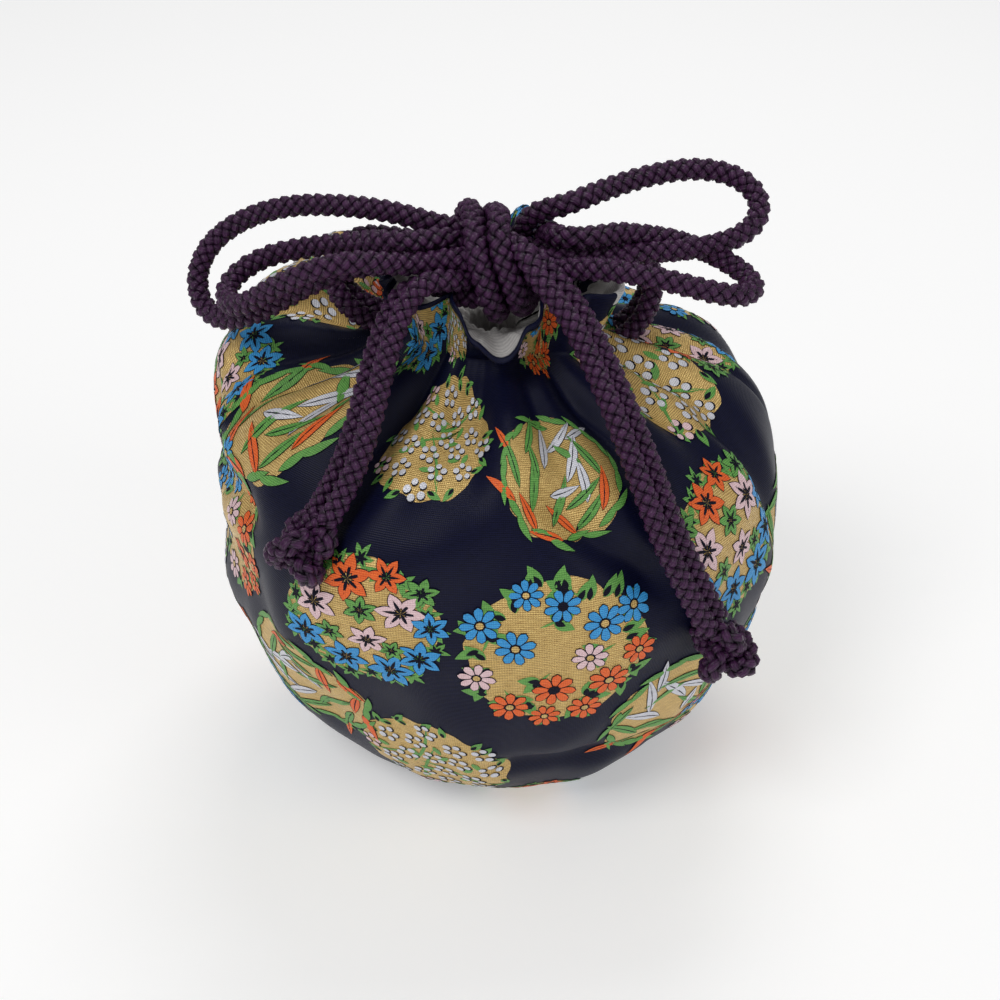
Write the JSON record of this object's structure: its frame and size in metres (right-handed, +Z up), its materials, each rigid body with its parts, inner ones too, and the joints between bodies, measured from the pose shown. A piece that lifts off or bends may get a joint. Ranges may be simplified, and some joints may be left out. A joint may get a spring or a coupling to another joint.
{
  "type": "drawstring pouch",
  "caption": "Round gathered cloth pouch with a pleated mouth, closed by doubled braided cords tied in a bow with knotted ends.",
  "frame": {"origin": "middle of the foot, on the surface that the pouch stands on", "axes": "+Z up, +X to the right seen from the front, front towards -Y"},
  "size_m": [0.1216, 0.1135, 0.1274],
  "materials": {
    "brocade": "navy satin brocade with woven gold and coloured flower roundels",
    "lining": "plain pale grey-white lining cloth",
    "cord": "dark aubergine round braid"
  },
  "bodies": {
    "root": {"outer_front_panel": "brocade", "outer_back_panel": "brocade", "lining_front_panel": "lining", "lining_back_panel": "lining", "left_channel_run": "cord", "left_standing_back": "cord", "left_standing_front": "cord", "left_loop_outer": "cord", "left_loop_inner": "cord", "left_tail_inner": "cord", "left_tail_outer": "cord", "left_end_knot": "cord", "right_channel_run": "cord", "right_standing_back": "cord", "right_standing_front": "cord", "right_loop_outer": "cord", "right_loop_inner": "cord", "right_tail_inner": "cord", "right_tail_outer": "cord", "right_end_knot": "cord", "bow_knot": "cord"}
  },
  "joints": []
}
